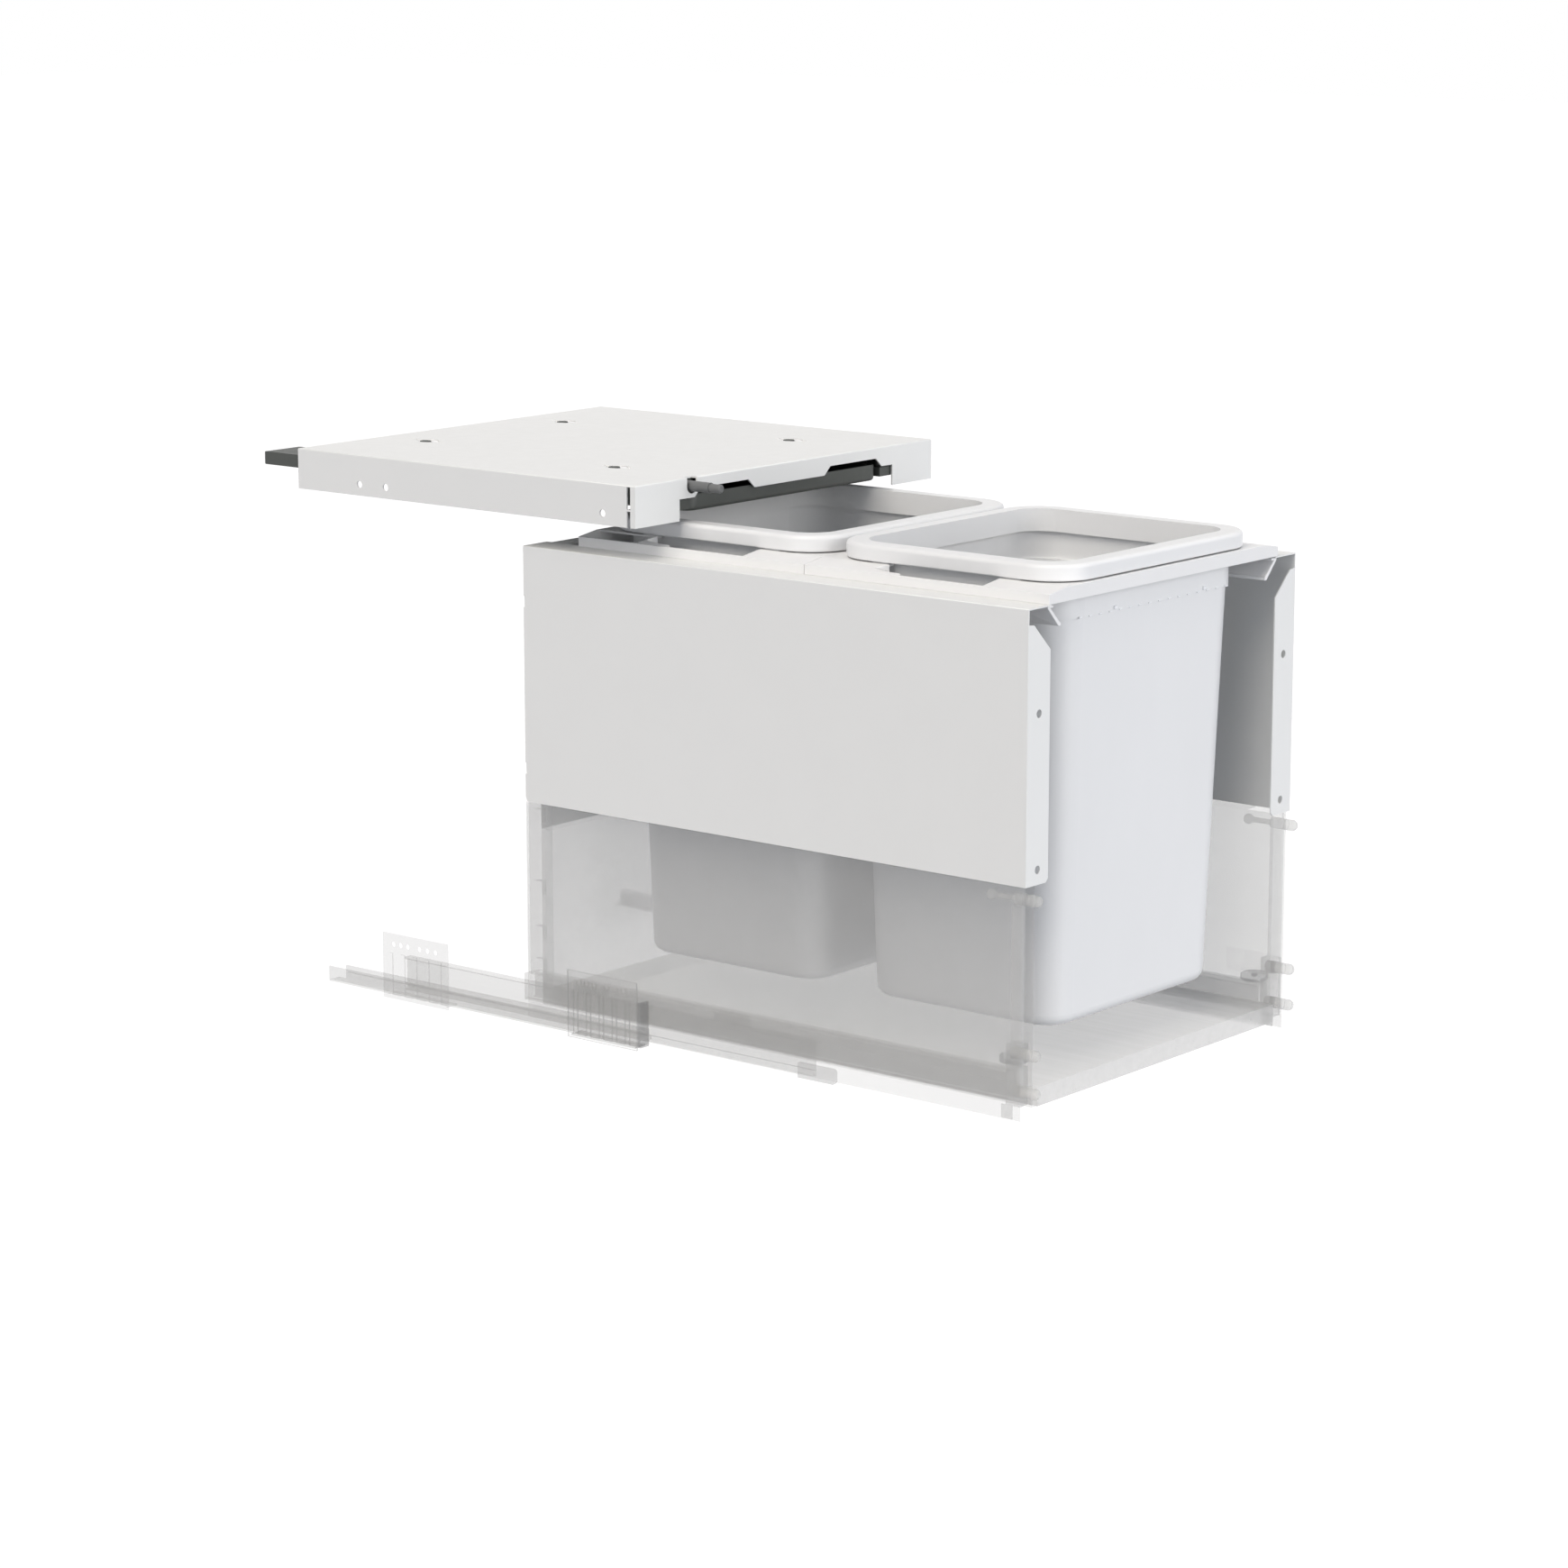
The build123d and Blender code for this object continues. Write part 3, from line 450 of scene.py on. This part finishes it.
class WASTEBIN_OT_carrier(bpy.types.Operator):
    """Moulded carrier frame with its corner gussets"""
    bl_idname = "wastebin.carrier"
    bl_label = "Carrier frame"

    def execute(self, context):
        p = context.scene.wastebin_plastic
        nodes = ["frame_front", "frame_rear"] + pair("gusset")
        paint(nodes, moulded(
            "white_frame", p.frame_colour, p.roughness, grain=0.0007, depth=0.00003))
        soften(nodes, p.edge)
        return {"FINISHED"}


class WASTEBIN_OT_bins(bpy.types.Operator):
    """The two bins"""
    bl_idname = "wastebin.bins"
    bl_label = "Bins"

    def execute(self, context):
        p = context.scene.wastebin_plastic
        nodes = ["bin_front", "bin_rear"]
        paint(nodes, moulded(
            "white_bin", p.bin_colour, p.roughness - BIN_GLOSS, grain=0.0009, depth=0.00003))
        return {"FINISHED"}


class WASTEBIN_OT_bin_details(bpy.types.Operator):
    """Row of beads and two studs on the front of each bin's collar"""
    bl_idname = "wastebin.bin_details"
    bl_label = "Bin details"

    def execute(self, context):
        d = context.scene.wastebin_detail
        material = bpy.data.materials["white_bin"]
        for node, body in (("bin_front", "front_bin"), ("bin_rear", "drawer")):
            low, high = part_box(node)
            face = low[1] + COLLAR_SETBACK
            mesh = bmesh.new()
            steps = int(2 * BEAD_REACH / d.bead_step)
            size = (d.bead_width, BEAD_DEPTH, BEAD_HEIGHT)
            for i in range(steps + 1):
                x = (i - steps / 2) * d.bead_step
                rounded_nub(mesh, (x, face, high[2] - BEAD_DROP), size, BEAD_ROUNDING)
            new_piece(node + "_beads", mesh, body, material)
            mesh = bmesh.new()
            size = (d.stud_width, STUD_DEPTH, STUD_HEIGHT)
            for x in STUD_PLACES:
                rounded_nub(mesh, (x, face, high[2] - STUD_DROP), size, STUD_ROUNDING)
            new_piece(node + "_studs", mesh, body, material)
        return {"FINISHED"}


class WASTEBIN_OT_lid(bpy.types.Operator):
    """Inner lid, its guides and bosses, and the plunger with its housing"""
    bl_idname = "wastebin.lid"
    bl_label = "Inner lid and plunger"

    def execute(self, context):
        p = context.scene.wastebin_plastic
        dark = moulded(
            "dark_plastic", p.dark_colour, roughness=0.5, grain=0.0006, depth=0.00008,
            uneven=0.04)
        nodes = ["lid_plate", "plunger_housing"] + pair("lid_guide")
        paint(nodes, dark)
        soften(nodes, p.edge)
        bosses = pair("lid_boss_front") + pair("lid_boss_rear")
        # The bosses' near-white colour holds a painted highlight.
        paint(bosses, moulded(
            "white_boss", p.boss_highlight_colour, p.roughness, grain=0.0007, depth=0.00003))
        paint(["plunger"], moulded(
            "grey_plunger", p.plunger_colour, roughness=0.4, grain=0.0006, depth=0.00004,
            uneven=0.02))
        return {"FINISHED"}


class WASTEBIN_OT_plugs(bpy.types.Operator):
    """Round dark plugs, one in the top of each of the lid's bosses"""
    bl_idname = "wastebin.plugs"
    bl_label = "Boss plugs"

    def execute(self, context):
        d = context.scene.wastebin_plug
        material = bpy.data.materials["dark_plastic"]
        for node in pair("lid_boss_front") + pair("lid_boss_rear"):
            low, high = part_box(node)
            middle = (Vector(low) + Vector(high)) / 2
            centre = Vector((middle.x, middle.y + d.plug_shift, high[2]))
            mesh = bmesh.new()
            bmesh.ops.create_cone(
                mesh, cap_ends=True, segments=48, radius1=d.plug_radius, radius2=d.plug_radius,
                depth=PLUG_DEPTH, matrix=Matrix.Translation(centre))
            top = high[2] + PLUG_DEPTH / 2
            rim = [edge for edge in mesh.edges
                   if all(abs(vertex.co.z - top) < SAME_PLACE for vertex in edge.verts)]
            bmesh.ops.bevel(
                mesh, geom=rim, offset=PLUG_ROUNDING, segments=3, profile=0.5, affect="EDGES")
            new_piece(node + "_plug", mesh, "inner_lid", material)
        return {"FINISHED"}


class WASTEBIN_OT_sides(bpy.types.Operator):
    """Hollow sides, lower back and base board, drawn see-through"""
    bl_idname = "wastebin.sides"
    bl_label = "Hollow sides"

    def execute(self, context):
        c = context.scene.wastebin_clear
        sheets = pair("side_outer") + pair("side_inner") + pair("rear_post")
        paint(sheets, see_through(
            "clear_sheet", c.sheet_colour, c.sheet_cover, roughness=0.4))
        # The base board's colour holds painted shade and the lower back's colour holds painted
        # light.
        paint_clear(["base_board"], see_through(
            "clear_board", c.board_shaded_colour, c.base_cover, roughness=0.5, stretch=BOARD_GRAIN))
        paint_clear(["back_lower"], see_through(
            "clear_back", c.back_lit_colour, c.back_cover, roughness=0.5, stretch=BOARD_GRAIN))
        return {"FINISHED"}


class WASTEBIN_OT_runners(bpy.types.Operator):
    """Runner members and wall brackets, drawn see-through"""
    bl_idname = "wastebin.runners"
    bl_label = "Runners"

    def execute(self, context):
        c = context.scene.wastebin_clear
        rails = pair("runner_fixed") + pair("runner_middle") + pair("runner_moving")
        paint_clear(rails, see_through(
            "clear_runner", c.metal_colour, c.runner_cover, roughness=0.3, stretch=ROLLED_GRAIN))
        paint_clear(pair("bracket_rear"), see_through(
            "clear_bracket", c.metal_colour, c.bracket_cover, roughness=0.35))
        paint_clear(pair("bracket_front"), see_through(
            "clear_front_bracket", c.front_bracket_colour, c.front_bracket_cover,
            roughness=0.35, edge_alpha=c.bracket_edge_cover))
        return {"FINISHED"}


class WASTEBIN_OT_fixings(bpy.types.Operator):
    """Small plastic parts and the fixings for the furniture front, drawn see-through"""
    bl_idname = "wastebin.fixings"
    bl_label = "Fixings"

    def execute(self, context):
        c = context.scene.wastebin_clear
        small = pair("runner_nose") + pair("glide_front") + pair("glide_rear")
        small += pair("front_block")
        paint_clear(small, see_through(
            "clear_plastic", c.plastic_colour, c.plastic_cover, roughness=0.4))
        dark = pair("adjuster") + pair("rail_stop")
        paint_clear(dark, see_through(
            "clear_wheel", c.wheel_colour, c.wheel_cover, roughness=0.4))
        paint_clear(pair("side_cover"), see_through(
            "clear_cover", c.sheet_colour, c.sheet_cover * COVER_PLATE_SHARE, roughness=0.4))
        pins = pair("dowel_upper") + pair("dowel_lower") + pair("ball_pin")
        paint_clear(pins, see_through(
            "clear_fixing", c.fixing_colour, c.fixing_cover, roughness=0.3))
        return {"FINISHED"}


def outward(azimuth, elevation):
    """Unit vector from the object towards an azimuth and an elevation, in radians."""
    level = math.cos(elevation)
    return Vector((
        math.sin(azimuth) * level, -math.cos(azimuth) * level, math.sin(elevation)))


def sun(name, strength, azimuth, elevation, width, colour=(1, 1, 1)):
    """A wide distant lamp, with its direction and its width in degrees."""
    data = bpy.data.lights.new(name, "SUN")
    data.energy = strength
    data.color = colour
    data.angle = math.radians(width)
    lamp = bpy.data.objects.new(name, data)
    towards = outward(math.radians(azimuth), math.radians(elevation))
    lamp.rotation_euler = towards.to_track_quat("Z", "Y").to_euler()
    bpy.context.scene.collection.objects.link(lamp)


def new_camera(place, azimuth, elevation, lens):
    """The scene's camera, which looks back along an azimuth and an elevation."""
    data = bpy.data.cameras.new("Camera")
    data.lens = lens
    data.sensor_width = 36
    camera = bpy.data.objects.new("Camera", data)
    camera.location = place
    camera.rotation_euler = (-outward(azimuth, elevation)).to_track_quat("-Z", "Y").to_euler()
    bpy.context.scene.collection.objects.link(camera)
    bpy.context.scene.camera = camera


def background(tree, colour, strength):
    """Adds one even background shader to a world."""
    node = tree.nodes.new("ShaderNodeBackground")
    node.inputs["Color"].default_value = (*colour, 1)
    node.inputs["Strength"].default_value = strength
    return node.outputs["Background"]


def white_world(colour, strength):
    """Even light on the object, and plain white where the camera, gloss or glass sees past it."""
    world = bpy.data.worlds.new("World")
    bpy.context.scene.world = world
    world.use_nodes = True
    tree = world.node_tree
    tree.nodes.clear()
    path = tree.nodes.new("ShaderNodeLightPath")
    seen = path.outputs["Is Camera Ray"]
    for kind in ("Is Glossy Ray", "Is Transmission Ray"):
        either = tree.nodes.new("ShaderNodeMath")
        either.operation = "MAXIMUM"
        tree.links.new(seen, either.inputs[0])
        tree.links.new(path.outputs[kind], either.inputs[1])
        seen = either.outputs["Value"]
    choose = tree.nodes.new("ShaderNodeMixShader")
    out = tree.nodes.new("ShaderNodeOutputWorld")
    tree.links.new(seen, choose.inputs["Fac"])
    tree.links.new(background(tree, colour, strength), choose.inputs[1])
    tree.links.new(background(tree, (1, 1, 1), 1), choose.inputs[2])
    tree.links.new(choose.outputs["Shader"], out.inputs["Surface"])


def floor(height, size, colour, glow):
    """A plain white floor that only keeps the object's shadow, and lights nothing itself."""
    material, _, shader = new_material("white_floor")
    shader.inputs["Base Color"].default_value = list(colour) + [1]
    shader.inputs["Roughness"].default_value = 1
    shader.inputs["Specular IOR Level"].default_value = 0
    shader.inputs["Emission Color"].default_value = (1, 1, 1, 1)
    shader.inputs["Emission Strength"].default_value = glow
    mesh = bmesh.new()
    bmesh.ops.create_grid(
        mesh, x_segments=1, y_segments=1, size=size / 2,
        matrix=Matrix.Translation((0, 0, height)))
    data = bpy.data.meshes.new("floor")
    mesh.to_mesh(data)
    mesh.free()
    data.materials.append(material)
    piece = bpy.data.objects.new("floor", data)
    piece.visible_diffuse = False
    piece.visible_shadow = False
    bpy.context.scene.collection.objects.link(piece)
    piece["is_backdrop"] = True


class WASTEBIN_OT_stage(bpy.types.Operator):
    """Camera, lamps, floor and a plain white background"""
    bl_idname = "wastebin.stage"
    bl_label = "Stage"

    def execute(self, context):
        g = context.scene.wastebin_stage
        context.scene.view_settings.view_transform = "Standard"
        context.scene.cycles.transparent_max_bounces = 64
        new_camera(g.camera_place, g.azimuth, g.elevation, g.lens)
        sun("High left lamp", g.key, azimuth=-90, elevation=52, width=50, colour=g.key_colour)
        sun("Low left lamp", g.side, azimuth=-90, elevation=15, width=50)
        sun("Front lamp", g.fill, azimuth=0, elevation=7, width=50)
        sun("Right lamp", g.off, azimuth=45, elevation=30, width=40)
        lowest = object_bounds()[0][2]
        floor(lowest - g.floor_drop, g.floor_size, g.floor_colour, g.floor_glow)
        white_world(g.ambient_colour, g.ambient)
        return {"FINISHED"}


# ---------------------------------------------------------------- panel and registration

OPERATORS = (
    WASTEBIN_OT_steel, WASTEBIN_OT_carrier, WASTEBIN_OT_bins, WASTEBIN_OT_bin_details,
    WASTEBIN_OT_lid, WASTEBIN_OT_plugs, WASTEBIN_OT_sides, WASTEBIN_OT_runners,
    WASTEBIN_OT_fixings, WASTEBIN_OT_stage,
)
SETTINGS = {
    "wastebin_steel": SteelSettings,
    "wastebin_plastic": PlasticSettings,
    "wastebin_detail": DetailSettings,
    "wastebin_plug": PlugSettings,
    "wastebin_clear": ClearSettings,
    "wastebin_stage": StageSettings,
}


class WASTEBIN_PT_panel(bpy.types.Panel):
    """Settings and steps of the waste bin unit"""
    bl_idname = "WASTEBIN_PT_panel"
    bl_label = "Waste bin unit"
    bl_space_type = "VIEW_3D"
    bl_region_type = "UI"
    bl_category = "Waste Bin"

    def draw(self, context):
        for name, group in SETTINGS.items():
            box = self.layout.box()
            for prop in group.__annotations__:
                box.prop(getattr(context.scene, name), prop)
        for operator in OPERATORS:
            self.layout.operator(operator.bl_idname)


def register():
    for group in SETTINGS.values():
        bpy.utils.register_class(group)
    for name, group in SETTINGS.items():
        setattr(bpy.types.Scene, name, PointerProperty(type=group))
    for operator in OPERATORS:
        bpy.utils.register_class(operator)
    bpy.utils.register_class(WASTEBIN_PT_panel)


def unregister():
    bpy.utils.unregister_class(WASTEBIN_PT_panel)
    for operator in reversed(OPERATORS):
        bpy.utils.unregister_class(operator)
    for name, group in SETTINGS.items():
        delattr(bpy.types.Scene, name)
        bpy.utils.unregister_class(group)


def main():
    """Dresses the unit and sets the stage."""
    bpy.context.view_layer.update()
    register()
    bpy.ops.wastebin.steel()
    bpy.ops.wastebin.carrier()
    bpy.ops.wastebin.bins()
    bpy.ops.wastebin.bin_details()
    bpy.ops.wastebin.lid()
    bpy.ops.wastebin.plugs()
    bpy.ops.wastebin.sides()
    bpy.ops.wastebin.runners()
    bpy.ops.wastebin.fixings()
    bpy.ops.wastebin.stage()


if __name__ == "__main__":
    main()
